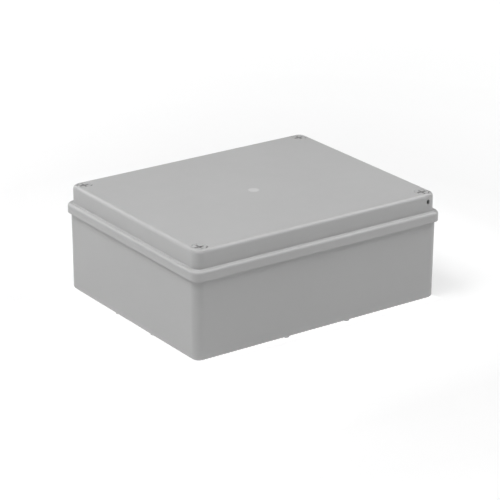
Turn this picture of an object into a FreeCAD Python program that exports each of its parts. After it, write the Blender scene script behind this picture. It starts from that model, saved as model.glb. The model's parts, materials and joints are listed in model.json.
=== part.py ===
import FreeCAD, Part

import math
import os

# A surface-mounting electrical junction box, nominally 240 x 190 x 90 mm inside, with plain walls
# and a low lid held by four captive quarter-turn screws.
#
# Millimetres. +Z is up, +X runs along the long side and -Y is the front.
# The origin is the middle of the footprint, on the plane that the stand-off pips rest on.

Vec = FreeCAD.Vector

# ---- driving dimensions -------------------------------------------------------------------------

INSIDE_X = 240.0                  # clear inside length of the base, at its rim
INSIDE_Y = 190.0                  # clear inside width of the base, at its rim
WALL = 3.3                        # side walls of the base
DRAFT = 0.55                      # each side of the base stands this much further in at the bottom
FLOOR = 2.5                       # floor of the base
PIP_HEIGHT = 1.6                  # round pips that hold the floor off the wall
OVERALL_HEIGHT = 96.2             # pips to lid top
SKIRT_DROP = 16.2                 # lid top down to the top of its collar
COLLAR_DROP = 24.9                # lid top down to the foot of its collar
SKIRT_INSET = 1.5                 # the lid's skirt stands this far inside the base's rim
COLLAR_OVERHANG = 3.75            # the collar stands this far outside the skirt
LID_PLATE = 2.4                   # top plate of the lid
SCREW_INSET = 9.0                 # lid screw axis, in from the skirt's outer face

# Rounded edges.
LID_EDGE = 3.6                    # round the lid's top
COLLAR_ROOT = 0.8                 # hollow between skirt and collar
COLLAR_EDGE = 2.9
COLLAR_FOOT_EDGE = 0.4
BASE_EDGE = 2.0                   # round the underside of the base
CAVITY_EDGE = 1.5                 # round the floor of the base

# ---- worked out from them -----------------------------------------------------------------------

BASE_X = INSIDE_X / 2 + WALL      # half the outside length, at the rim
BASE_Y = INSIDE_Y / 2 + WALL
BASE_CORNER = 7.5
CAVITY_CORNER = BASE_CORNER - WALL
UNDERSIDE = PIP_HEIGHT
FLOOR_TOP = UNDERSIDE + FLOOR
WITHIN_FLOOR = UNDERSIDE + 0.5    # where posts and bosses start, inside the floor

LID_TOP = OVERALL_HEIGHT
SKIRT_X = BASE_X - SKIRT_INSET
SKIRT_Y = BASE_Y - SKIRT_INSET
SKIRT_CORNER = 7.5
SKIRT_WALL = 3.1
COLLAR_X = SKIRT_X + COLLAR_OVERHANG
COLLAR_Y = SKIRT_Y + COLLAR_OVERHANG
COLLAR_CORNER = 8.0
COLLAR_TOP = LID_TOP - SKIRT_DROP
COLLAR_FOOT = LID_TOP - COLLAR_DROP
COLLAR_GAP = 0.3                  # between the collar and the base's outer face
SHOULDER = 2.0                    # thickness of the step between skirt and collar
GROOVE_TOP = COLLAR_TOP - SHOULDER
LIP_X = INSIDE_X / 2 - 0.3        # outer face of the lid's inner lip, clear of the base's walls
LIP_Y = INSIDE_Y / 2 - 0.3
GROOVE_X = BASE_X + COLLAR_GAP
GROOVE_Y = BASE_Y + COLLAR_GAP
GROOVE_CORNER = BASE_CORNER - 0.6
GASKET_HEIGHT = 1.7
GASKET_EDGE = 0.5
WALL_TOP = GROOVE_TOP - GASKET_HEIGHT - 0.1
LIP_FOOT = COLLAR_FOOT + 1.0

SCREW_X = SKIRT_X - SCREW_INSET
SCREW_Y = SKIRT_Y - SCREW_INSET
CORNERS = {
    "front_left": (-1, -1),
    "front_right": (1, -1),
    "rear_right": (1, 1),
    "rear_left": (-1, 1),
}

# Lid screw, its well in the lid, and what it locks into.
WELL_R = 6.3
WELL_CHAMFER = 0.5
WELL_DEPTH = 10.5
HEAD_R = 6.12
HEAD_SINK = 0.5                   # head top below the lid's face
HEAD_HEIGHT = WELL_DEPTH - HEAD_SINK - 0.05
HEAD_EDGE = 0.25
SHANK_R = 3.8
SHANK_BORE_R = 4.0
SEAL_SEAT_R = 5.4
SEAL_SEAT_DEPTH = 1.4
SEAL_SECTION_R = 0.66
CROSS_LENGTH = 9.2
CROSS_WIDTH = 2.0
CROSS_DEPTH = 2.6
CROSS_END_SLOPE = 1.1             # how far each arm's end leans in on its way down
CROSS_SIDE_SLOPE = 0.25
MARK_WIDTH = 1.2                  # crescent across the gap between head and well, half in each
MARK_DEPTH = 2.0
MARK_HALF_ANGLE = 18.0
MARK_ANGLE = -45.0                # where the crescent is whole while the screw is unlocked
BOSS_R = 7.6
UPPER_BOSS_R = 8.4
UPPER_BOSS_LENGTH = 14.0
BOSS_FOOT = LIP_FOOT - 0.1
RETAINER_SEAT_R = 6.0
RETAINER_SEAT_DEPTH = 1.8
RETAINER_R = 5.6
RETAINER_THICKNESS = 0.8
RETAINER_GROOVE_R = 3.2
RETAINER_FOOT = BOSS_FOOT + 0.5
RETAINER_SLOT = 3.2
SEAL_PIN_DROP = 6.7               # axis of the sealing-pin hole below the lid top
SEAL_PIN_WIDTH = 2.9
SEAL_PIN_HEIGHT = 4.2
GATE_X, GATE_Y = -2.0, -4.6       # the moulding gate's mark, near the middle of the lid
GATE_DISH_R = 4.4
GATE_DISH_DEPTH = 0.12
GATE_NUB_R = 0.8
POST_TOP = BOSS_FOOT - 0.3
POST_REACH = 8.4                  # post from the screw axis towards the middle of the box
POST_BORE_R = 6.6
RECEPTACLE_R = POST_BORE_R - 0.05
RECEPTACLE_FLANGE_R = 7.0
RECEPTACLE_FLANGE = 0.8
RECEPTACLE_LENGTH = 11.0
POST_BORE_DEPTH = RECEPTACLE_LENGTH + 3.0
LEDGE_THICKNESS = 3.5
LEDGE_BORE_R = 4.1
LUG_R = 5.4
LUG_ROOT_R = SHANK_R - 1.5
LUG_HALF_ANGLE = 30.0
LUG_HEIGHT = 3.2
LUG_GAP = 0.3
KEYWAY_R = 5.6
KEYWAY_HALF_ANGLE = 38.0
STOP_ANGLE = 46.5                 # middle of each rotation stop, from the unlocked lug
STOP_HALF_ANGLE = 10.0
STOP_INNER_R = 4.3
TIP_HEIGHT = 1.5
TIP_TAPER = 1.2

# Wall fixings, their plugs, and the bosses on the floor.
FIXING_X = 98.0
FIXING_Y = 70.0
FIXING_HOLE_R = 2.6
FIXING_WELL_R = 5.2
FIXING_TUBE_R = 7.2
FIXING_TUBE_TOP = FLOOR_TOP + 8.0
FIXING_WEB = 2.0
PLUG_CAP_R = 6.8
PLUG_CAP_HEIGHT = 1.3
PLUG_SPIGOT_R = FIXING_WELL_R - 0.2
PLUG_SPIGOT_DEPTH = 3.2
PLUG_SPIGOT_WALL = 1.0
PLUG_EDGE = 0.6
BOSS_HEIGHT = 8.0
PLATE_BOSS_X = 107.0
PLATE_BOSS_Y = 42.0
PLATE_BOSS_R = 4.0
PILOT_R = 1.6
PILOT_DEPTH = 7.0
RAIL_BOSS_X = 75.0
RAIL_BOSS_R = 4.8
PIP_R = 2.8
PIP_EDGE = 0.5
PIP_INSET = 5.3                   # pip axis, in from the base's rim
PIP_ALONG_X = 31.0                # pips beside the long walls, from the middle
PIP_ALONG_Y = 27.0                # pips beside the short walls, from the middle

# Top-hat rail and the terminals clipped to it.
RAIL_LENGTH = 200.0
RAIL_HALF_WIDTH = 17.5
RAIL_HALF_CROWN = 13.5
RAIL_HEIGHT = 7.5
RAIL_SHEET = 1.0
RAIL_BOTTOM = FLOOR_TOP + BOSS_HEIGHT
RAIL_TOP = RAIL_BOTTOM + RAIL_HEIGHT
RAIL_SLOT_PITCH = 25.0
RAIL_SLOT_LENGTH = 15.0
RAIL_SLOT_WIDTH = 5.2
TERMINAL_NAMES = [
    "terminal_line_1", "terminal_line_2", "terminal_line_3", "terminal_line_4",
    "terminal_line_5", "terminal_neutral_1", "terminal_neutral_2", "terminal_earth",
]
TERMINAL_WIDTH = 8.0
TERMINAL_PITCH = 8.1
TERMINAL_FLOOR = RAIL_TOP + 0.3
TERMINAL_HEIGHT = 33.0
TERMINAL_TOP = TERMINAL_FLOOR + TERMINAL_HEIGHT
TERMINAL_HALF = 28.0              # half the depth across the rail
TERMINAL_HALF_TOP = 13.0
TERMINAL_SHOULDER = 11.0          # where the sloping shoulders start
TERMINAL_SKIN = 1.4               # closed side of the housing
TERMINAL_CHAMFER = 1.5
SHOULDER_FOOT = (TERMINAL_HALF - 2.0, TERMINAL_FLOOR + TERMINAL_SHOULDER + 3.0)
SHOULDER_HEAD = (TERMINAL_HALF_TOP + 1.0, TERMINAL_TOP - 3.0)
ENTRY_R = 1.9                     # wire entry, and its wider mouth
ENTRY_MOUTH_R = 2.6
ENTRY_DEPTH = 9.0
ENTRY_TILT = 38.5                 # from upright, in degrees
TOOL_SLOT_Y = TERMINAL_HALF_TOP - 3.4
TOOL_SLOT_HALF_X = 1.9
TOOL_SLOT_HALF_Y = 1.4
TOOL_SLOT_DEPTH = 9.0
MARKER_HALF_Y = 2.6               # groove along the top for marker tags
MARKER_DEPTH = 1.6
MARKER_PROUD = 0.4                # tag above the terminal's top
MARKER_INSET = 0.9                # tag in from each side of its terminal
HOOK_GAP = 0.3                    # between a hook and the rail's flange
HOOK_DROP = 1.8                   # below the rail's flange
HOOK_REACH = 3.2                  # outside the rail's edge
HOOK_GRIP = 2.3                   # how far a hook reaches in under the flange
HOOK_GRIP_FOOT = 1.6              # the same at its foot
BAR_FOOT = TERMINAL_FLOOR + 4.6
BAR_HALF = 19.0
SPRING_FOOT = TERMINAL_FLOOR + 6.0
SPRING_TALL = 12.0
SPRING_LEAF = 0.6
END_PLATE_WIDTH = 1.6
END_STOP_WIDTH = 9.5
END_STOP_TALL = 24.0
END_STOP_SEAT = 19.0              # where the end stop's screw head rests
END_SCREW_R = 1.9
END_SCREW_HEAD_R = 3.2
STACK_GAP = 0.1                   # between neighbours on the rail
PAN_EDGE = 0.6                    # small pan-head screws: rounding of the head
PAN_CROSS_REACH = 0.55            # cross arm as a share of the head's radius
PAN_CROSS_WIDTH = 0.8
PAN_CROSS_DEPTH = 1.1


# ---- shapes used by several parts ---------------------------------------------------------------

def rounded_outline(half_x, half_y, radius, z):
    """A closed wire with rounded corners, centred on the Z axis."""
    quarter = math.pi / 2
    corners = []
    for k, (sx, sy) in enumerate([(1, 1), (-1, 1), (-1, -1), (1, -1)]):
        centre = Vec(sx * (half_x - radius), sy * (half_y - radius), z)
        corners.append([
            centre + Vec(radius * math.cos(a), radius * math.sin(a), 0)
            for a in (k * quarter, (k + 0.5) * quarter, (k + 1) * quarter)
        ])
    loop = []
    for points, following in zip(corners, corners[1:] + corners[:1]):
        loop += [Part.Arc(*points).toShape(), Part.LineSegment(points[2], following[0]).toShape()]
    return Part.Wire(loop)


def slab(half_x, half_y, radius, z_low, z_high):
    """An upright block with rounded vertical edges."""
    face = Part.Face(rounded_outline(half_x, half_y, radius, z_low))
    return face.extrude(Vec(0, 0, z_high - z_low))


def tapered_slab(half_x, half_y, radius, z_low, z_high):
    """A block with rounded corners, full size at the top, its sides leaning in by DRAFT at the bottom."""
    top = rounded_outline(half_x, half_y, radius, z_high)
    bottom = rounded_outline(half_x - DRAFT, half_y - DRAFT, radius - DRAFT, z_low)
    return Part.makeLoft([bottom, top], True, True)


def cylinder(x, y, radius, z_low, z_high):
    return Part.makeCylinder(radius, z_high - z_low, Vec(x, y, z_low))


def cone(x, y, radius_low, radius_high, z_low, z_high):
    return Part.makeCone(radius_low, radius_high, z_high - z_low, Vec(x, y, z_low))


def block(x_low, x_high, y_low, y_high, z_low, z_high):
    return Part.makeBox(x_high - x_low, y_high - y_low, z_high - z_low, Vec(x_low, y_low, z_low))


def sector(x, y, radius_in, radius_out, middle, half_angle, z_low, z_high):
    """A stretch of a ring round an upright axis. Angles are in degrees, from +X towards +Y."""
    height = z_high - z_low
    wedge = Part.makeCylinder(radius_out, height, Vec(0, 0, z_low), Vec(0, 0, 1), 2 * half_angle)
    wedge.rotate(Vec(0, 0, 0), Vec(0, 0, 1), middle - half_angle)
    if radius_in > 0:
        wedge = wedge.cut(cylinder(0, 0, radius_in, z_low, z_high))
    wedge.translate(Vec(x, y, 0))
    return wedge


def edges_at(shape, z):
    """The edges that lie in the horizontal plane at z."""
    return [
        e for e in shape.Edges
        if abs(e.BoundBox.ZMin - z) < 1e-4 and abs(e.BoundBox.ZMax - z) < 1e-4
    ]


def rounded_at(shape, radius, z):
    """The shape with its edges at height z rounded."""
    return shape.makeFillet(radius, edges_at(shape, z))


def rectangle(half_x, half_y, z):
    """A closed rectangular wire, centred on the Z axis."""
    corners = [Vec(sx * half_x, sy * half_y, z) for sx, sy in ((-1, -1), (1, -1), (1, 1), (-1, 1))]
    return Part.makePolygon(corners + corners[:1])


def prism_yz(points, x_low, x_high):
    """An outline of (y, z) points, extruded along X."""
    outline = [Vec(x_low, y, z) for y, z in points]
    return Part.Face(Part.makePolygon(outline + outline[:1])).extrude(Vec(x_high - x_low, 0, 0))


def mirrored_outline(points):
    """A closed (y, z) outline from its +Y half, listed from bottom to top."""
    return points + [(-y, z) for y, z in reversed(points)]


def corner_places(x, y):
    return [(sx * x, sy * y) for sx, sy in CORNERS.values()]


# ---- base ---------------------------------------------------------------------------------------

def pip_places():
    beside_long = [(s * PIP_ALONG_X, t * (BASE_Y - PIP_INSET)) for s in (-1, 1) for t in (-1, 1)]
    beside_short = [(s * (BASE_X - PIP_INSET), t * PIP_ALONG_Y) for s in (-1, 1) for t in (-1, 1)]
    return beside_long + beside_short


def base_shell():
    outer = tapered_slab(BASE_X, BASE_Y, BASE_CORNER, UNDERSIDE, WALL_TOP)
    cavity = tapered_slab(INSIDE_X / 2, INSIDE_Y / 2, CAVITY_CORNER, FLOOR_TOP, WALL_TOP)
    cavity = rounded_at(cavity, CAVITY_EDGE, FLOOR_TOP)
    return rounded_at(outer, BASE_EDGE, UNDERSIDE).cut(cavity)


def make_post(sx, sy):
    """The solid pillar in one corner, joined to both walls."""
    x, y = sx * SCREW_X, sy * SCREW_Y
    wall_x, wall_y = sx * (BASE_X - WALL / 2), sy * (BASE_Y - WALL / 2)
    inner_x, inner_y = x - sx * POST_REACH, y - sy * POST_REACH
    spans = [(x, wall_x, inner_y, wall_y), (inner_x, wall_x, y, wall_y)]
    fillings = [
        block(min(x1, x2), max(x1, x2), min(y1, y2), max(y1, y2), WITHIN_FLOOR, POST_TOP)
        for x1, x2, y1, y2 in spans
    ]
    pillar = cylinder(x, y, POST_REACH, WITHIN_FLOOR, POST_TOP).fuse(fillings)
    return pillar.common(slab(BASE_X - WALL / 2, BASE_Y - WALL / 2, CAVITY_CORNER, UNDERSIDE, WALL_TOP))


def make_base():
    added = [make_post(sx, sy) for sx, sy in CORNERS.values()]
    for x, y in corner_places(FIXING_X, FIXING_Y):
        added.append(cylinder(x, y, FIXING_TUBE_R, WITHIN_FLOOR, FIXING_TUBE_TOP))
    for x, y in corner_places(PLATE_BOSS_X, PLATE_BOSS_Y):
        added.append(cylinder(x, y, PLATE_BOSS_R, WITHIN_FLOOR, RAIL_BOTTOM))
    for x in (-RAIL_BOSS_X, RAIL_BOSS_X):
        added.append(cylinder(x, 0, RAIL_BOSS_R, WITHIN_FLOOR, RAIL_BOTTOM))
    for x, y in pip_places():
        added.append(rounded_at(cylinder(x, y, PIP_R, 0, WITHIN_FLOOR), PIP_EDGE, 0))
    solid = base_shell().fuse(added).removeSplitter()

    removed = []
    for x, y in corner_places(SCREW_X, SCREW_Y):
        removed.append(cylinder(x, y, POST_BORE_R, POST_TOP - POST_BORE_DEPTH, POST_TOP + 1))
        flange_foot = POST_TOP - RECEPTACLE_FLANGE
        removed.append(cylinder(x, y, RECEPTACLE_FLANGE_R + 0.1, flange_foot, POST_TOP + 1))
    for x, y in corner_places(FIXING_X, FIXING_Y):
        removed.append(cylinder(x, y, FIXING_HOLE_R, UNDERSIDE - 1, FIXING_TUBE_TOP))
        removed.append(cylinder(x, y, FIXING_WELL_R, UNDERSIDE + FIXING_WEB, FIXING_TUBE_TOP + 1))
    pilots = corner_places(PLATE_BOSS_X, PLATE_BOSS_Y) + [(-RAIL_BOSS_X, 0), (RAIL_BOSS_X, 0)]
    for x, y in pilots:
        removed.append(cylinder(x, y, PILOT_R, RAIL_BOTTOM - PILOT_DEPTH, RAIL_BOTTOM + 1))
    return solid.cut(removed)


def make_receptacle(x, y):
    """The bayonet socket pressed into a post: a keyhole ledge over a chamber with two rotation stops."""
    foot = POST_TOP - RECEPTACLE_LENGTH
    ledge_foot = POST_TOP - LEDGE_THICKNESS
    body = cylinder(x, y, RECEPTACLE_R, foot, POST_TOP)
    body = body.fuse(cylinder(x, y, RECEPTACLE_FLANGE_R, POST_TOP - RECEPTACLE_FLANGE, POST_TOP))
    chamber = cylinder(x, y, KEYWAY_R, foot - 1, ledge_foot)
    bore = cylinder(x, y, LEDGE_BORE_R, foot - 1, POST_TOP + 1)
    keyways = [
        sector(x, y, 0, KEYWAY_R, a, KEYWAY_HALF_ANGLE, ledge_foot - 0.1, POST_TOP + 1)
        for a in (0, 180)
    ]
    stop_foot, stop_top = ledge_foot - LUG_HEIGHT, ledge_foot + 0.2
    stops = [
        sector(x, y, STOP_INNER_R, KEYWAY_R + 0.2, a, STOP_HALF_ANGLE, stop_foot, stop_top)
        for a in (STOP_ANGLE, STOP_ANGLE + 180)
    ]
    return body.cut([bore, chamber] + keyways).fuse(stops).removeSplitter()


def make_wall_plug(x, y):
    """The insulating cap over one wall fixing: a disc with a hollow spigot."""
    seat, cap_top = FIXING_TUBE_TOP, FIXING_TUBE_TOP + PLUG_CAP_HEIGHT
    cap = rounded_at(cylinder(x, y, PLUG_CAP_R, seat, cap_top), PLUG_EDGE, cap_top)
    spigot = cylinder(x, y, PLUG_SPIGOT_R, seat - PLUG_SPIGOT_DEPTH, seat)
    hollow = cylinder(x, y, PLUG_SPIGOT_R - PLUG_SPIGOT_WALL, seat - PLUG_SPIGOT_DEPTH - 1, seat)
    return cap.fuse(spigot).cut(hollow).removeSplitter()


# ---- lid ----------------------------------------------------------------------------------------

def lid_outside():
    """Skirt and collar as one solid, with its outside edges rounded."""
    skirt = slab(SKIRT_X, SKIRT_Y, SKIRT_CORNER, COLLAR_FOOT + 1, LID_TOP)
    collar = slab(COLLAR_X, COLLAR_Y, COLLAR_CORNER, COLLAR_FOOT, COLLAR_TOP)
    collar = rounded_at(collar, COLLAR_EDGE, COLLAR_TOP)
    collar = rounded_at(collar, COLLAR_FOOT_EDGE, COLLAR_FOOT)
    joined = rounded_at(skirt, LID_EDGE, LID_TOP).fuse(collar).removeSplitter()
    root = [e for e in edges_at(joined, COLLAR_TOP) if runs_round_skirt(e)]
    return joined.makeFillet(COLLAR_ROOT, root)


def runs_round_skirt(edge):
    """True for an edge whose ends both lie on the skirt's outline."""
    outline = rounded_outline(SKIRT_X, SKIRT_Y, SKIRT_CORNER, COLLAR_TOP)
    return all(outline.distToShape(v)[0] < 1e-3 for v in edge.Vertexes)


def lid_hollows():
    """What is open under the lid: the tray, and the groove for the gasket and the base's rim."""
    below = COLLAR_FOOT - 1
    inner_x, inner_y = SKIRT_X - SKIRT_WALL, SKIRT_Y - SKIRT_WALL
    tray = slab(inner_x, inner_y, SKIRT_CORNER - SKIRT_WALL, below, LID_TOP - LID_PLATE)
    groove = slab(GROOVE_X, GROOVE_Y, GROOVE_CORNER, below, GROOVE_TOP)
    lip = slab(LIP_X, LIP_Y, CAVITY_CORNER, below - 1, GROOVE_TOP + 1)
    under_lip = slab(LIP_X + 0.1, LIP_Y + 0.1, CAVITY_CORNER, below, LIP_FOOT)
    return [tray, groove.cut(lip), under_lip]


def oblong_along_y(x, z, y_low, y_high):
    """The upright oblong section of the sealing-pin hole, run along Y."""
    radius = SEAL_PIN_WIDTH / 2
    rise = SEAL_PIN_HEIGHT / 2 - radius
    length = y_high - y_low
    ends = [Part.makeCylinder(radius, length, Vec(x, y_low, z + s * rise), Vec(0, 1, 0)) for s in (-1, 1)]
    return ends[0].fuse([ends[1], block(x - radius, x + radius, y_low, y_high, z - rise, z + rise)])


def seal_pin_hole(sx, sy):
    """The hole from a long face of the lid into one screw's well."""
    face, axis = sy * (SKIRT_Y + 1), sy * SCREW_Y
    return oblong_along_y(sx * SCREW_X, LID_TOP - SEAL_PIN_DROP, min(face, axis), max(face, axis))


def gate_dish():
    """The shallow round dish that the moulding gate leaves."""
    radius = (GATE_DISH_R ** 2 + GATE_DISH_DEPTH ** 2) / (2 * GATE_DISH_DEPTH)
    return Part.makeSphere(radius, Vec(GATE_X, GATE_Y, LID_TOP - GATE_DISH_DEPTH + radius))


def lid_bosses():
    """The hollow pillars round the screws, kept clear of the base's walls."""
    wide = [
        cylinder(x, y, UPPER_BOSS_R, LID_TOP - UPPER_BOSS_LENGTH, LID_TOP - 1)
        for x, y in corner_places(SCREW_X, SCREW_Y)
    ]
    within_lip = slab(LIP_X, LIP_Y, CAVITY_CORNER, BOSS_FOOT, LID_TOP - 1)
    narrow = [
        cylinder(x, y, BOSS_R, BOSS_FOOT, LID_TOP - 1).common(within_lip)
        for x, y in corner_places(SCREW_X, SCREW_Y)
    ]
    return wide + narrow


def make_lid():
    solid = lid_outside().cut(lid_hollows()).fuse(lid_bosses()).removeSplitter()
    well_floor = LID_TOP - WELL_DEPTH
    removed = [seal_pin_hole(1, -1), seal_pin_hole(-1, 1), gate_dish()]
    for x, y in corner_places(SCREW_X, SCREW_Y):
        removed.append(cylinder(x, y, WELL_R, well_floor, LID_TOP + 1))
        removed.append(cone(x, y, WELL_R, WELL_R + WELL_CHAMFER, LID_TOP - WELL_CHAMFER, LID_TOP))
        removed.append(position_mark(x, y))
        removed.append(cylinder(x, y, SEAL_SEAT_R, well_floor - SEAL_SEAT_DEPTH, well_floor + 0.1))
        removed.append(cylinder(x, y, SHANK_BORE_R, BOSS_FOOT - 1, well_floor))
        removed.append(cylinder(x, y, RETAINER_SEAT_R, BOSS_FOOT - 1, BOSS_FOOT + RETAINER_SEAT_DEPTH))
    nub = cylinder(GATE_X, GATE_Y, GATE_NUB_R, LID_TOP - 1, LID_TOP - GATE_DISH_DEPTH / 2)
    return solid.cut(removed).fuse(nub).removeSplitter()


def make_gasket():
    """The foam seal in the lid's groove, which the base's rim presses on."""
    foot = GROOVE_TOP - GASKET_HEIGHT
    outer = slab(GROOVE_X - 0.1, GROOVE_Y - 0.1, GROOVE_CORNER, foot, GROOVE_TOP)
    inner = slab(LIP_X + 0.1, LIP_Y + 0.1, CAVITY_CORNER, foot - 1, GROOVE_TOP + 1)
    return rounded_at(outer.cut(inner), GASKET_EDGE, foot)


# ---- lid screws ---------------------------------------------------------------------------------

def cross_recess(x, y, top):
    """A cross whose arms taper down to its floor, lined up with the sides of the box."""
    half, width = CROSS_LENGTH / 2, CROSS_WIDTH / 2
    mouth = rectangle(half, width, top + 0.01)
    floor = rectangle(half - CROSS_END_SLOPE, width - CROSS_SIDE_SLOPE, top - CROSS_DEPTH)
    arms = []
    for turn in (0, 90):
        arm = Part.makeLoft([floor, mouth], True, True)
        arm.rotate(Vec(0, 0, 0), Vec(0, 0, 1), turn)
        arm.translate(Vec(x, y, 0))
        arms.append(arm)
    return arms


def position_mark(x, y):
    """The short crescent across the gap between a screw's head and its well."""
    middle, half = (HEAD_R + WELL_R) / 2, MARK_WIDTH / 2
    return sector(x, y, middle - half, middle + half, MARK_ANGLE, MARK_HALF_ANGLE,
                  LID_TOP - MARK_DEPTH, LID_TOP + 1)


def pin_ways(x, y):
    """Two crossed passages through a screw's head, so that a pin enters in either position."""
    way = oblong_along_y(0, LID_TOP - SEAL_PIN_DROP, -HEAD_R - 1, HEAD_R + 1)
    crossed = [way, way.rotated(Vec(0, 0, 0), Vec(0, 0, 1), 90)]
    return [w.translated(Vec(x, y, 0)) for w in crossed]


def make_screw(x, y):
    """A quarter-turn screw, unlocked: its two lugs point along X."""
    top = LID_TOP - HEAD_SINK
    head_foot = top - HEAD_HEIGHT
    lug_top = POST_TOP - LEDGE_THICKNESS - LUG_GAP
    lug_foot = lug_top - LUG_HEIGHT
    head = rounded_at(cylinder(x, y, HEAD_R, head_foot, top), HEAD_EDGE, top)
    shank = cylinder(x, y, SHANK_R, lug_foot, head_foot)
    tip = cone(x, y, SHANK_R - TIP_TAPER, SHANK_R, lug_foot - TIP_HEIGHT, lug_foot)
    lugs = [
        sector(x, y, LUG_ROOT_R, LUG_R, a, LUG_HALF_ANGLE, lug_foot, lug_top)
        for a in (0, 180)
    ]
    solid = head.fuse([shank, tip] + lugs).removeSplitter()
    groove = cylinder(x, y, SHANK_R + 1, RETAINER_FOOT, RETAINER_FOOT + RETAINER_THICKNESS)
    groove = groove.cut(cylinder(x, y, RETAINER_GROOVE_R, RETAINER_FOOT - 1, RETAINER_FOOT + 2))
    return solid.cut(cross_recess(x, y, top) + pin_ways(x, y) + [position_mark(x, y), groove])


def make_screw_seal(x, y):
    """The O-ring under a screw head."""
    z = LID_TOP - WELL_DEPTH - SEAL_SEAT_DEPTH / 2
    return Part.makeTorus(SHANK_R + SEAL_SECTION_R + 0.03, SEAL_SECTION_R, Vec(x, y, z))


def make_retainer(x, y):
    """The slotted push-on ring that keeps a screw in the lid."""
    foot = RETAINER_FOOT + 0.02
    top = RETAINER_FOOT + RETAINER_THICKNESS - 0.02
    ring = cylinder(x, y, RETAINER_R, foot, top)
    hole = cylinder(x, y, RETAINER_GROOVE_R + 0.03, foot - 1, top + 1)
    half_slot = RETAINER_SLOT / 2
    slot = block(x, x + RETAINER_R + 1, y - half_slot, y + half_slot, foot - 1, top + 1)
    return ring.cut([hole, slot])


# ---- rail and terminals -------------------------------------------------------------------------

def rail_outline():
    """The top-hat section's +Y half, round the outside and back along the inside."""
    low, high, sheet = RAIL_BOTTOM, RAIL_TOP, RAIL_SHEET
    return [
        (RAIL_HALF_CROWN, low),
        (RAIL_HALF_CROWN, high - sheet),
        (RAIL_HALF_WIDTH, high - sheet),
        (RAIL_HALF_WIDTH, high),
        (RAIL_HALF_CROWN - sheet, high),
        (RAIL_HALF_CROWN - sheet, low + sheet),
    ]


def make_rail():
    rail = prism_yz(mirrored_outline(rail_outline()), -RAIL_LENGTH / 2, RAIL_LENGTH / 2)
    count = int(RAIL_LENGTH // RAIL_SLOT_PITCH) - 1
    radius = RAIL_SLOT_WIDTH / 2
    straight = RAIL_SLOT_LENGTH / 2 - radius
    below, above = RAIL_BOTTOM - 1, RAIL_BOTTOM + RAIL_SHEET + 1
    slots = []
    for k in range(count):
        x = (k - (count - 1) / 2) * RAIL_SLOT_PITCH
        slots.append(block(x - straight, x + straight, -radius, radius, below, above))
        slots += [cylinder(x + s * straight, 0, radius, below, above) for s in (-1, 1)]
    return rail.cut(slots)


def pan_screw(x, y, seat, head_r, head_height, shank_r, length):
    """A pan-head screw with a cross recess, its head resting at the height seat."""
    top = seat + head_height
    head = rounded_at(cylinder(x, y, head_r, seat, top), PAN_EDGE, top)
    shank = cylinder(x, y, shank_r, seat - length, seat)
    arm, half_width = head_r * PAN_CROSS_REACH, PAN_CROSS_WIDTH / 2
    recess = [
        block(x - a, x + a, y - b, y + b, top - PAN_CROSS_DEPTH, top + 1)
        for a, b in ((arm, half_width), (half_width, arm))
    ]
    return head.fuse(shank).cut(recess)


def make_rail_screws():
    seat = RAIL_BOTTOM + RAIL_SHEET
    return Part.makeCompound([
        pan_screw(x, 0, seat, 4.2, 2.4, PILOT_R - 0.03, 6.5) for x in (-RAIL_BOSS_X, RAIL_BOSS_X)
    ])


def hook_outline():
    """The +Y half of what clips under the rail's flange, from its inner corner round to its foot."""
    inner, outer = RAIL_HALF_WIDTH + HOOK_GAP, RAIL_HALF_WIDTH + HOOK_REACH
    flange = RAIL_TOP - RAIL_SHEET
    return [
        (inner, TERMINAL_FLOOR),
        (inner, flange - HOOK_GAP),
        (inner - HOOK_GRIP, flange - HOOK_GAP),
        (inner - HOOK_GRIP_FOOT, flange - HOOK_DROP),
        (outer, flange - HOOK_DROP),
    ]


def housing_outline():
    """The housing's +Y half, from its underside up to its flat top."""
    return [
        (TERMINAL_HALF - TERMINAL_CHAMFER, TERMINAL_FLOOR),
        (TERMINAL_HALF, TERMINAL_FLOOR + TERMINAL_CHAMFER),
        (TERMINAL_HALF, TERMINAL_FLOOR + TERMINAL_SHOULDER),
        SHOULDER_FOOT,
        SHOULDER_HEAD,
        (TERMINAL_HALF_TOP, TERMINAL_TOP),
    ]


def wire_entry(side):
    """A funnel down through one sloping shoulder, for a stripped wire. side is -1 or 1 in Y."""
    up_slope = 0.3
    y, z = (a + up_slope * (b - a) for a, b in zip(SHOULDER_FOOT, SHOULDER_HEAD))
    tilt = math.radians(ENTRY_TILT)
    inward = Vec(0, -side * math.sin(tilt), -math.cos(tilt))
    mouth = Vec(0, side * y, z) - inward * 0.5
    funnel = Part.makeCone(ENTRY_MOUTH_R, ENTRY_R, 3.0, mouth, inward)
    return [funnel, Part.makeCylinder(ENTRY_R, ENTRY_DEPTH, mouth, inward)]


def tool_slot(side):
    """The upright slot for the screwdriver that opens a spring."""
    y = side * TOOL_SLOT_Y
    return block(-TOOL_SLOT_HALF_X, TOOL_SLOT_HALF_X, y - TOOL_SLOT_HALF_Y, y + TOOL_SLOT_HALF_Y,
                 TERMINAL_TOP - TOOL_SLOT_DEPTH, TERMINAL_TOP + 1)


def terminal_pocket():
    """The hollow for the metal parts, open on one side of the housing."""
    low = TERMINAL_FLOOR + 4.0
    outline = mirrored_outline([(21.0, low), (21.0, low + 7.0), (10.0, low + 18.0)])
    return prism_yz(outline, TERMINAL_SKIN - TERMINAL_WIDTH / 2, TERMINAL_WIDTH / 2 + 1)


def terminal_x(index):
    return (index - (len(TERMINAL_NAMES) - 1) / 2) * TERMINAL_PITCH


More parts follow.
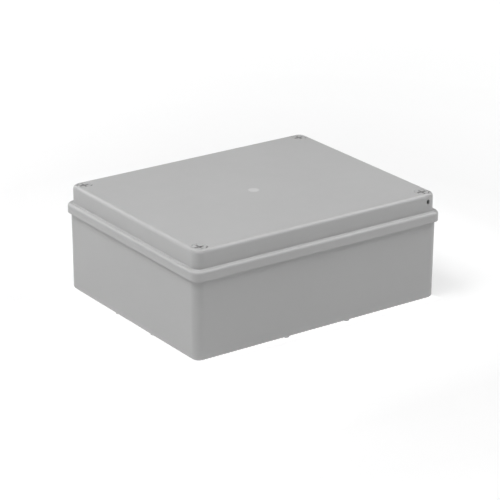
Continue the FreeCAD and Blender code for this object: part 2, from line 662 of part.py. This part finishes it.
def make_terminal(index):
    """One spring terminal, with wire entries, tool slots and a marker groove."""
    half = TERMINAL_WIDTH / 2
    outline = hook_outline() + [(RAIL_HALF_WIDTH + HOOK_REACH, TERMINAL_FLOOR)] + housing_outline()
    housing = prism_yz(mirrored_outline(outline), -half, half)
    groove = block(-half - 1, half + 1, -MARKER_HALF_Y, MARKER_HALF_Y,
                   TERMINAL_TOP - MARKER_DEPTH, TERMINAL_TOP + 1)
    removed = [terminal_pocket(), groove]
    for side in (-1, 1):
        removed += wire_entry(side) + [tool_slot(side)]
    return housing.cut(removed).translated(Vec(terminal_x(index), 0, 0))


def make_terminal_markers():
    """A blank tag in each terminal's marker groove."""
    tags = []
    for index in range(len(TERMINAL_NAMES)):
        x = terminal_x(index)
        half_x, half_y = TERMINAL_WIDTH / 2 - MARKER_INSET, MARKER_HALF_Y - 0.05
        low, high = TERMINAL_TOP - MARKER_DEPTH, TERMINAL_TOP + MARKER_PROUD
        tag = block(x - half_x, x + half_x, -half_y, half_y, low, high)
        tags.append(rounded_at(tag, MARKER_PROUD, high))
    return Part.makeCompound(tags)


def make_current_bars():
    """The tinned copper bar through the middle of each terminal."""
    low, high = BAR_FOOT, BAR_FOOT + 2.4
    outline = mirrored_outline([
        (BAR_HALF, low), (BAR_HALF, high), (BAR_HALF - 1.2, high), (BAR_HALF - 1.2, low + 1.2),
    ])
    inner_side, outer_side = TERMINAL_SKIN + 0.3 - TERMINAL_WIDTH / 2, TERMINAL_WIDTH / 2 - 0.7
    places = [terminal_x(index) for index in range(len(TERMINAL_NAMES))]
    return Part.makeCompound([prism_yz(outline, x + inner_side, x + outer_side) for x in places])


def spring_outline(side, inset):
    """One folded spring seen along X, drawn in from its outside by inset. side is -1 or 1 in Y."""
    near, far = 4.0 + inset, 16.0 - inset
    low, bend, high = SPRING_FOOT + inset, SPRING_FOOT + 4.5 - inset / 3, SPRING_FOOT + SPRING_TALL - inset
    crown = 10.0 - inset / 2
    return [(side * y, z) for y, z in ((near, low), (far, low), (far, bend), (crown, high), (near, high))]


def make_clamp_springs():
    """Two folded leaf springs on each bar."""
    inner_side, outer_side = TERMINAL_SKIN + 0.6 - TERMINAL_WIDTH / 2, TERMINAL_WIDTH / 2 - 1.0
    springs = []
    for index in range(len(TERMINAL_NAMES)):
        x = terminal_x(index)
        for side in (-1, 1):
            outside = prism_yz(spring_outline(side, 0), x + inner_side, x + outer_side)
            inside = prism_yz(spring_outline(side, SPRING_LEAF), x + inner_side - 1, x + outer_side + 1)
            springs.append(outside.cut(inside))
    return Part.makeCompound(springs)


def row_end(side):
    """The outer face of the row of terminals. side is -1 or 1 in X."""
    last = terminal_x(len(TERMINAL_NAMES) - 1)
    return side * (last + TERMINAL_WIDTH / 2)


def make_end_plate():
    x_low = row_end(1) + STACK_GAP
    return prism_yz(mirrored_outline(housing_outline()), x_low, x_low + END_PLATE_WIDTH)


def end_stop_span(side):
    if side < 0:
        end = row_end(-1) - STACK_GAP
        return end - END_STOP_WIDTH, end
    start = row_end(1) + 2 * STACK_GAP + END_PLATE_WIDTH
    return start, start + END_STOP_WIDTH


def make_end_stop(side):
    """The bracket that stops the terminals sliding along the rail."""
    x_low, x_high = end_stop_span(side)
    outer, low = RAIL_HALF_WIDTH + HOOK_REACH, TERMINAL_FLOOR
    outline = mirrored_outline(hook_outline() + [
        (outer, low + 12.0),
        (outer - 5.0, low + 14.0),
        (outer - 8.0, low + END_STOP_TALL),
    ])
    middle = (x_low + x_high) / 2
    bore = cylinder(middle, 0, END_SCREW_R + 0.2, low - 1, low + END_STOP_TALL + 1)
    counterbore = cylinder(middle, 0, END_SCREW_HEAD_R + 0.2, low + END_STOP_SEAT, low + END_STOP_TALL + 1)
    return prism_yz(outline, x_low, x_high).cut([bore, counterbore])


def make_end_stop_screws():
    seat = TERMINAL_FLOOR + END_STOP_SEAT
    middles = [sum(end_stop_span(side)) / 2 for side in (-1, 1)]
    return Part.makeCompound([
        pan_screw(x, 0, seat, END_SCREW_HEAD_R, 2.2, END_SCREW_R, 22.0) for x in middles
    ])


# ---- write every part ---------------------------------------------------------------------------

def all_parts():
    parts = {
        "base_box": make_base(),
        "lid": make_lid(),
        "lid_gasket": make_gasket(),
        "din_rail": make_rail(),
        "rail_screws": make_rail_screws(),
        "terminal_end_plate": make_end_plate(),
        "terminal_markers": make_terminal_markers(),
        "terminal_current_bars": make_current_bars(),
        "terminal_clamp_springs": make_clamp_springs(),
        "end_stop_left": make_end_stop(-1),
        "end_stop_right": make_end_stop(1),
        "end_stop_screws": make_end_stop_screws(),
    }
    for index, name in enumerate(TERMINAL_NAMES):
        parts[name] = make_terminal(index)
    for name, (sx, sy) in CORNERS.items():
        x, y = sx * SCREW_X, sy * SCREW_Y
        parts["lid_screw_" + name] = make_screw(x, y)
        parts["screw_seal_" + name] = make_screw_seal(x, y)
        parts["screw_retainer_" + name] = make_retainer(x, y)
        parts["screw_receptacle_" + name] = make_receptacle(x, y)
        parts["wall_plug_" + name] = make_wall_plug(sx * FIXING_X, sy * FIXING_Y)
    return parts


def main():
    os.makedirs("parts", exist_ok=True)
    for name, shape in all_parts().items():
        if not shape.isValid():
            print("not valid:", name)
        print(f"{name}: {len(shape.Solids)} solids, {shape.Volume / 1000:.2f} cm3")
        shape.exportStep(f"parts/{name}.step")


main()
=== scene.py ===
import json
import math

import bpy
from mathutils import Matrix, Vector


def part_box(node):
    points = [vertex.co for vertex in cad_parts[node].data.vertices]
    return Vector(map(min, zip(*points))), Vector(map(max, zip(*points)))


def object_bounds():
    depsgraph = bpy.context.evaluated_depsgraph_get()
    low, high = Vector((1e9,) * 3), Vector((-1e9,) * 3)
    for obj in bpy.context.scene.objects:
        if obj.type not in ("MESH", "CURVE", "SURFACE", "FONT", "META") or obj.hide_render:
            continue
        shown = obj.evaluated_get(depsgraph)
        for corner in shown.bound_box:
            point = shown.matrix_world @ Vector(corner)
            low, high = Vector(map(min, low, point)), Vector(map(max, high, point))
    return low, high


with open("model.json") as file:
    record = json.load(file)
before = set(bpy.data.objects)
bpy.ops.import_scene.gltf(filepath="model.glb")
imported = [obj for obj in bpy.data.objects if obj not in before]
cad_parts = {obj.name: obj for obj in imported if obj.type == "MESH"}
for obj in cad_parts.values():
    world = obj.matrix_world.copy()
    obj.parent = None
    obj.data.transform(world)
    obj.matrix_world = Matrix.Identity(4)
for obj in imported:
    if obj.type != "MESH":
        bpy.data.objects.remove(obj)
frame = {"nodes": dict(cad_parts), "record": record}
cad_low, cad_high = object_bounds()

# An electrical junction box on a pale studio floor. Metres, in the CAD frame: +Z up, -Y the front.

# ---- sizes and places ---------------------------------------------------------------------------

MM = 0.001
LID_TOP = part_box("lid")[1].z

# The camera: a long lens that sees the box from the front left. Without its sideways shift and its
# rise it would aim at a point on the box's axis, and neither of them turns it. Angles are in degrees.
SENSOR_WIDTH_MM = 36.0
FOCAL_LENGTH_MM = 163.18
CAMERA_AZIMUTH = -35.07
CAMERA_ELEVATION = 21.33
CAMERA_ROLL = 0.20
CAMERA_DISTANCE = 1.9362
CAMERA_SIDEWAYS = -1.85 * MM
CAMERA_RISE = -7.13 * MM
CAMERA_NEAR, CAMERA_FAR = 0.1, 60.0
AIM_BELOW_LID = 48.7 * MM

# Soft boxes: name, azimuth, elevation, distance, width, height and watts. An azimuth of 0 is in
# front of the box and 90 to its right.
SOFT_BOXES = [
    ("overhead", 0.0, 89.0, 1.6, 1.2, 1.2, 2.6),
    ("left_key", -95.0, 60.0, 1.5, 0.8, 0.8, 12.6),
    ("front_left", -60.0, 60.0, 1.5, 0.8, 0.8, 7.0),
    ("rear_low", -160.0, 20.0, 1.5, 0.8, 0.5, 7.2),
    ("rear_high", -160.0, 38.0, 1.5, 0.8, 0.6, 1.5),
    ("right_fill", 60.0, 50.0, 1.5, 0.6, 0.6, 13.0),
]

# The sky is bright up to the first rise and dim from the second. A rise is the elevation's sine.
HORIZON_STRENGTH = 0.9
ZENITH_STRENGTH = 0.05
HORIZON_RISE, ZENITH_RISE = 0.04, 0.12

# The floor glows, more strongly far away, so that it is white up to the horizon.
FLOOR_RADIUS = 12.0
FLOOR_SIDES = 96
FLOOR_GLOW_NEAR = 0.32
FLOOR_GLOW_FAR = 0.95
GLOW_NEAR_REACH, GLOW_FAR_REACH = 0.35, 1.6

# Two more glows, measured outwards from a line just outside the box's walls.
WALL_INSET = 2 * MM               # from the CAD box, which the lid's collar sets, in to that line
UNDER_GLOW = 0.4                  # under the box, where no other light reaches
UNDER_FULL, UNDER_END = -1 * MM, 3 * MM
BESIDE_GLOW = 0.15                # round the box, to thin out its shadows
BESIDE_END = 160 * MM

# The paler mark that the moulding gate leaves on the lid: partly its blush, partly a painted
# reflection of its glossier spot.
GATE_MARK = (-2.0 * MM, -4.6 * MM, LID_TOP)
GATE_BLUSH_AND_REFLECTION = 1.24
GATE_PALE_RADIUS = 4.0 * MM
GATE_END_RADIUS = 5.4 * MM

# Surface patterns. A scale is in cycles per metre.
CLOUD_SCALE = 9.0                 # plastic: slow changes of shade
SPECKLE_SCALE = 2600.0            # fine dark specks
SCUFF_SCALE = 120.0               # breaks up the worn edges
SHEEN_SCALE = 35.0                # changes of gloss
SAG_SCALE = 14.0                  # slow waves of the wall
SAG_DEPTH = 0.12 * MM
WORN_EDGE = 0.5 * MM
# reach of the painted shade in corners and recesses
HOLLOW_SHADE_REACH = 2.5 * MM
STREAK_SCALE = 900.0              # steel: drawn streaks
STREAK_DEPTH = 0.01 * MM
SPOT_SCALE = 60.0                 # duller spots
BRIGHT_EDGE = 0.4 * MM
BLOOM_SCALE = 150.0               # rubber: grey bloom
STRIPE_HALF_WIDTH = 9.0 * MM      # earth terminal: its yellow band
STRIPE_CLOUD_SCALE = 25.0
STRIPE_SHEEN_SCALE = 60.0
STRIPE_GRAIN_SCALE = 1600.0
STRIPE_GRAIN_DEPTH = 0.012 * MM

PROBE_SAMPLES = 6
FLAT_AGREEMENT, EDGE_AGREEMENT = 0.999, 0.90   # between the rounded and the true normal
OPEN_SHARE, CLOSED_SHARE = 0.9, 0.3            # of the surroundings that are clear


# ---- shader building ----------------------------------------------------------------------------

class Shader:
    """A material's node tree, with short calls for the nodes used here."""

    def __init__(self, name):
        self.material = bpy.data.materials.new(name)
        self.material.use_nodes = True
        self.tree = self.material.node_tree
        self.surface = self.tree.nodes["Principled BSDF"]
        self.place = self.add("ShaderNodeTexCoord").outputs["Object"]

    def add(self, kind, **settings):
        node = self.tree.nodes.new(kind)
        for key, value in settings.items():
            setattr(node, key, value)
        return node

    def link(self, source, target):
        self.tree.links.new(source, target)

    def fill(self, target, value):
        """Links a socket to the target, or sets the target to a constant."""
        if isinstance(value, bpy.types.NodeSocket):
            self.link(value, target)
        else:
            target.default_value = value

    def set(self, **values):
        """Sets Principled inputs: base_color is "Base Color", and so on."""
        for key, value in values.items():
            title = key.replace("_", " ").title().replace("Ior", "IOR")
            self.fill(self.surface.inputs[title], value)

    def stretched(self, stretch):
        node = self.add("ShaderNodeMapping")
        self.link(self.place, node.inputs["Vector"])
        node.inputs["Scale"].default_value = stretch
        return node.outputs["Vector"]

    def noise(self, scale, detail=2.0, roughness=0.5, stretch=(1, 1, 1)):
        node = self.add("ShaderNodeTexNoise")
        self.link(self.stretched(stretch), node.inputs["Vector"])
        node.inputs["Scale"].default_value = scale
        node.inputs["Detail"].default_value = detail
        node.inputs["Roughness"].default_value = roughness
        return node.outputs["Fac"]

    def cells(self, scale):
        node = self.add("ShaderNodeTexVoronoi")
        self.link(self.place, node.inputs["Vector"])
        node.inputs["Scale"].default_value = scale
        return node.outputs["Distance"]

    def axes(self):
        """The place's X, Y and Z, by name."""
        node = self.add("ShaderNodeSeparateXYZ")
        self.link(self.place, node.inputs[0])
        return node.outputs

    def distance_from(self, point):
        node = self.add("ShaderNodeVectorMath", operation="DISTANCE")
        self.link(self.place, node.inputs[0])
        node.inputs[1].default_value = point
        return node.outputs["Value"]

    def remap(self, source, low, high, new_low, new_high):
        node = self.add("ShaderNodeMapRange")
        self.link(source, node.inputs["Value"])
        set_range(node, low, high, new_low, new_high)
        return node.outputs["Result"]

    def math(self, operation, first, second):
        node = self.add("ShaderNodeMath", operation=operation)
        self.fill(node.inputs[0], first)
        self.fill(node.inputs[1], second)
        return node.outputs["Value"]

    def size_of(self, value):
        """The value without its sign."""
        return self.math("ABSOLUTE", value, 0.0)

    def blend(self, factor, first, second):
        node = self.add("ShaderNodeMix", data_type="RGBA")
        self.fill(node.inputs["Factor"], factor)
        self.fill(node.inputs["A"], first)
        self.fill(node.inputs["B"], second)
        return node.outputs["Result"]

    def edges(self, radius):
        """1 along convex and concave edges narrower than radius, 0 on flats."""
        rounded = self.add("ShaderNodeBevel", samples=PROBE_SAMPLES)
        rounded.inputs["Radius"].default_value = radius
        plain = self.add("ShaderNodeNewGeometry")
        agreement = self.add("ShaderNodeVectorMath", operation="DOT_PRODUCT")
        self.link(rounded.outputs["Normal"], agreement.inputs[0])
        self.link(plain.outputs["Normal"], agreement.inputs[1])
        return self.remap(agreement.outputs["Value"], FLAT_AGREEMENT, EDGE_AGREEMENT, 0.0, 1.0)

    def hollows(self, distance):
        """1 in corners and crevices, 0 in the open."""
        node = self.add("ShaderNodeAmbientOcclusion", samples=PROBE_SAMPLES)
        node.inputs["Distance"].default_value = distance
        return self.remap(node.outputs["AO"], OPEN_SHARE, CLOSED_SHARE, 0.0, 1.0)

    def bump(self, height, distance, over=None):
        node = self.add("ShaderNodeBump")
        self.link(height, node.inputs["Height"])
        node.inputs["Distance"].default_value = distance
        node.inputs["Strength"].default_value = 1.0
        if over is not None:
            self.link(over, node.inputs["Normal"])
        return node.outputs["Normal"]


def set_range(node, low, high, new_low, new_high):
    """Sets what a Map Range node maps from and to."""
    names = ("From Min", "From Max", "To Min", "To Max")
    for name, value in zip(names, (low, high, new_low, new_high)):
        node.inputs[name].default_value = value


def grey(level, tint=(1.0, 1.0, 1.0)):
    return (level * tint[0], level * tint[1], level * tint[2], 1.0)


def shade(colour, factor):
    return tuple(c * factor for c in colour[:3]) + (1.0,)


def moulded(name, colour, rough=0.42, grain=1500.0, grain_depth=0.02 * MM, wear=0.12, hollow_shade=0.04,
            gate=None):
    """Injection-moulded plastic: spark-eroded grain, faint cloudiness, paler worn edges, painted
    shade in corners.
    gate is the middle of the paler mark that the moulding gate leaves, partly its blush and partly a
    painted reflection."""
    s = Shader(name)
    clouds = s.remap(s.noise(CLOUD_SCALE, 3.0), 0.3, 0.7, 0.0, 1.0)
    speckle = s.remap(s.noise(SPECKLE_SCALE, 1.0), 0.35, 0.65, 0.0, 0.06)
    base = s.blend(clouds, shade(colour, 0.985), shade(colour, 1.012))
    base = s.blend(speckle, base, shade(colour, 0.8))
    scuffs = s.remap(s.noise(SCUFF_SCALE, 4.0), 0.4, 0.65, 0.1, wear)
    rubbed = s.math("MULTIPLY", s.edges(WORN_EDGE), scuffs)
    base = s.blend(rubbed, base, shade(colour, 1.18))
    # Painted shade: the colour darkens in corners and recesses, where the occlusion probe finds them.
    shaded_hollows = s.math("MULTIPLY", s.hollows(HOLLOW_SHADE_REACH), hollow_shade)
    base = s.blend(shaded_hollows, base, shade(colour, 0.62))
    if gate:
        # Paler disc at the gate: partly blush, partly painted reflection.
        blush_and_reflection = s.remap(s.distance_from(gate), GATE_PALE_RADIUS, GATE_END_RADIUS, 1.0, 0.0)
        base = s.blend(blush_and_reflection, base, shade(colour, GATE_BLUSH_AND_REFLECTION))
    sheen = s.remap(s.noise(SHEEN_SCALE, 4.0), 0.3, 0.7, rough - 0.04, rough + 0.05)
    fine = s.bump(s.noise(grain, 2.0, 0.6), grain_depth)
    waves = s.bump(s.noise(SAG_SCALE, 1.0), SAG_DEPTH, over=fine)
    s.set(base_color=base, roughness=sheen, normal=waves, ior=1.5)
    return s.material


def plated_steel(name, colour, rough=0.33, along=(0.04, 1.0, 1.0), spots=0.25):
    """Zinc-plated or spring steel: drawn streaks, duller spots and bright worn edges."""
    s = Shader(name)
    streaks = s.noise(STREAK_SCALE, 3.0, 0.6, along)
    dull = s.remap(s.noise(SPOT_SCALE, 4.0), 0.42, 0.62, 0.0, spots)
    base = s.blend(dull, colour, shade(colour, 0.72))
    base = s.blend(s.edges(BRIGHT_EDGE), base, shade(colour, 1.25))
    drawn = s.remap(streaks, 0.3, 0.7, rough - 0.07, rough + 0.07)
    roughness = s.math("ADD", drawn, s.math("MULTIPLY", dull, 0.4))
    s.set(base_color=base, metallic=1.0, roughness=roughness, normal=s.bump(streaks, STREAK_DEPTH))
    return s.material


def rubber(name, colour, cell_scale, depth, rough=0.8):
    """Rubber or closed-cell foam: pitted skin and a grey bloom."""
    s = Shader(name)
    bloom = s.remap(s.noise(BLOOM_SCALE, 4.0), 0.4, 0.7, 0.0, 0.35)
    base = s.blend(bloom, colour, shade(colour, 1.9))
    s.set(base_color=base, roughness=rough, normal=s.bump(s.cells(cell_scale), depth))
    return s.material


def earth_stripe(name, green, yellow):
    """Green polyamide whose middle carries a yellow band."""
    s = Shader(name)
    band = s.math("LESS_THAN", s.size_of(s.axes()["Y"]), STRIPE_HALF_WIDTH)
    base = s.blend(band, green, yellow)
    clouds = s.remap(s.noise(STRIPE_CLOUD_SCALE, 3.0), 0.3, 0.7, 0.0, 0.12)
    base = s.blend(clouds, base, shade(green, 0.6))
    sheen = s.remap(s.noise(STRIPE_SHEEN_SCALE, 3.0), 0.3, 0.7, 0.38, 0.48)
    grain = s.bump(s.noise(STRIPE_GRAIN_SCALE, 2.0), STRIPE_GRAIN_DEPTH)
    s.set(base_color=base, roughness=sheen, normal=grain)
    return s.material


# ---- materials, by the record's slots -----------------------------------------------------------

BOX_GREY = grey(0.36)
WARM_GREY = (1.0, 1.0, 0.97)
WARM_WHITE = (1.0, 1.0, 0.98)
ZINC = (1.0, 0.99, 0.95)
YELLOW_ZINC = (1.0, 0.98, 0.93)
TERMINAL_BLUE = (0.03, 0.12, 0.36, 1.0)
EARTH_GREEN = (0.05, 0.26, 0.05, 1.0)
EARTH_YELLOW = (0.72, 0.58, 0.04, 1.0)
TINNED_COPPER = (0.70, 0.60, 0.47, 1.0)
TERMINAL_GRAIN = {"grain": 1600.0, "grain_depth": 0.01 * MM}
DRAWN_ALONG_Y = (1.0, 0.05, 1.0)
NOT_DRAWN = (1, 1, 1)

MATERIALS = {
    "box_plastic": moulded("box_plastic", BOX_GREY, gate=GATE_MARK),
    # The screws get stronger painted shade in their recesses.
    "screw_plastic": moulded("screw_plastic", shade(BOX_GREY, 0.97), grain_depth=0.01 * MM, hollow_shade=0.2),
    "gasket_foam": rubber("gasket_foam", grey(0.045), 1500.0, 0.08 * MM),
    "seal_rubber": rubber("seal_rubber", grey(0.02), 3000.0, 0.01 * MM, rough=0.55),
    "retainer_steel": plated_steel("retainer_steel", grey(0.55), rough=0.25),
    "receptacle_nylon": moulded("receptacle_nylon", grey(0.07), rough=0.4, grain=2200.0,
                                grain_depth=0.01 * MM, wear=0.2),
    "plug_plastic": moulded("plug_plastic", grey(0.50, WARM_GREY), rough=0.32, grain=900.0,
                            grain_depth=0.006 * MM),
    "rail_steel": plated_steel("rail_steel", grey(0.62, ZINC)),
    "fastener_steel": plated_steel("fastener_steel", grey(0.58, YELLOW_ZINC), rough=0.3,
                                   along=NOT_DRAWN),
    "terminal_grey": moulded("terminal_grey", grey(0.26, WARM_GREY), **TERMINAL_GRAIN),
    "terminal_blue": moulded("terminal_blue", TERMINAL_BLUE, **TERMINAL_GRAIN),
    "terminal_green": earth_stripe("terminal_green", EARTH_GREEN, EARTH_YELLOW),
    "marker_white": moulded("marker_white", grey(0.62, WARM_WHITE), rough=0.45, grain=1600.0,
                            grain_depth=0.006 * MM),
    "bar_copper": plated_steel("bar_copper", TINNED_COPPER, rough=0.28, along=DRAWN_ALONG_Y),
    "spring_steel": plated_steel("spring_steel", grey(0.56), rough=0.24, along=DRAWN_ALONG_Y,
                                 spots=0.1),
}


def dress_nodes():
    """Gives every CAD node the material of its slot."""
    slot_of = {part["node"]: part["material_slot"] for part in frame["record"]["subparts"]}
    for name, node in frame["nodes"].items():
        node.data.materials.clear()
        node.data.materials.append(MATERIALS[slot_of[name]])


# ---- studio -------------------------------------------------------------------------------------

def direction(azimuth, elevation):
    """The unit vector from the box towards a place in the studio."""
    a, e = math.radians(azimuth), math.radians(elevation)
    return Vector((math.sin(a) * math.cos(e), -math.cos(a) * math.cos(e), math.sin(e)))


def floor_paint():
    """Pale matt paint that glows: everywhere a little, and more under and beside the box."""
    s = Shader("floor_white")
    glow = s.remap(s.distance_from((0.0, 0.0, 0.0)), GLOW_NEAR_REACH, GLOW_FAR_REACH,
                   FLOOR_GLOW_NEAR, FLOOR_GLOW_FAR)
    place = s.axes()
    beyond_side = s.math("SUBTRACT", s.size_of(place["X"]), cad_high.x - WALL_INSET)
    beyond_front = s.math("SUBTRACT", s.size_of(place["Y"]), cad_high.y - WALL_INSET)
    outside = s.math("MAXIMUM", beyond_side, beyond_front)
    under = s.remap(outside, UNDER_FULL, UNDER_END, UNDER_GLOW, 0.0)
    beside = s.remap(outside, 0.0, BESIDE_END, BESIDE_GLOW, 0.0)
    strength = s.math("ADD", glow, s.math("ADD", under, beside))
    s.set(base_color=grey(0.5), roughness=0.9, emission_color=grey(1.0), emission_strength=strength)
    return s.material


def add_floor():
    """A wide disc at the height of the pips' feet."""
    turns = [2 * math.pi * k / FLOOR_SIDES for k in range(FLOOR_SIDES)]
    rim = [(FLOOR_RADIUS * math.cos(t), FLOOR_RADIUS * math.sin(t), 0.0) for t in turns]
    mesh = bpy.data.meshes.new("floor")
    mesh.from_pydata(rim, [], [range(FLOOR_SIDES)])
    mesh.materials.append(floor_paint())
    floor = bpy.data.objects.new("floor", mesh)
    bpy.context.scene.collection.objects.link(floor)


def add_soft_box(name, azimuth, elevation, distance, width, height, power):
    """A rectangular light, hidden from the camera, that faces the middle of the box."""
    light = bpy.data.lights.new(name, "AREA")
    light.shape = "RECTANGLE"
    light.size, light.size_y, light.energy = width, height, power
    lamp = bpy.data.objects.new(name, light)
    away = direction(azimuth, elevation)
    lamp.location = away * distance + Vector((0, 0, LID_TOP / 2))
    lamp.rotation_euler = away.to_track_quat("Z", "Y").to_euler()
    lamp.visible_camera = False
    bpy.context.scene.collection.objects.link(lamp)


def add_world():
    """A white sky that fades from the horizon up."""
    world = bpy.data.worlds.new("studio")
    world.use_nodes = True
    tree = world.node_tree
    sky = tree.nodes.new("ShaderNodeTexCoord")
    rise = tree.nodes.new("ShaderNodeSeparateXYZ")
    fade = tree.nodes.new("ShaderNodeMapRange")
    background = tree.nodes["Background"]
    set_range(fade, HORIZON_RISE, ZENITH_RISE, HORIZON_STRENGTH, ZENITH_STRENGTH)
    tree.links.new(sky.outputs["Generated"], rise.inputs[0])
    tree.links.new(rise.outputs["Z"], fade.inputs["Value"])
    tree.links.new(fade.outputs["Result"], background.inputs["Strength"])
    background.inputs["Color"].default_value = grey(1.0)
    bpy.context.scene.world = world


def add_camera():
    """The camera looks along -back, and its roll tips it to the left."""
    azimuth, roll = math.radians(CAMERA_AZIMUTH), math.radians(CAMERA_ROLL)
    back = direction(CAMERA_AZIMUTH, CAMERA_ELEVATION)
    level = Vector((math.cos(azimuth), math.sin(azimuth), 0.0))
    upright = back.cross(level)
    right = level * math.cos(roll) + upright * math.sin(roll)
    up = upright * math.cos(roll) - level * math.sin(roll)
    aim = Vector((0.0, 0.0, LID_TOP - AIM_BELOW_LID))
    place = aim + back * CAMERA_DISTANCE + level * CAMERA_SIDEWAYS + upright * CAMERA_RISE
    data = bpy.data.cameras.new("camera")
    data.sensor_width = SENSOR_WIDTH_MM
    data.lens = FOCAL_LENGTH_MM
    data.clip_start, data.clip_end = CAMERA_NEAR, CAMERA_FAR
    camera = bpy.data.objects.new("camera", data)
    camera.matrix_world = Matrix.Translation(place) @ Matrix((right, up, back)).transposed().to_4x4()
    bpy.context.scene.collection.objects.link(camera)
    bpy.context.scene.camera = camera


dress_nodes()
add_floor()
add_world()
for soft_box in SOFT_BOXES:
    add_soft_box(*soft_box)
add_camera()
bpy.context.scene.view_settings.view_transform = "Standard"
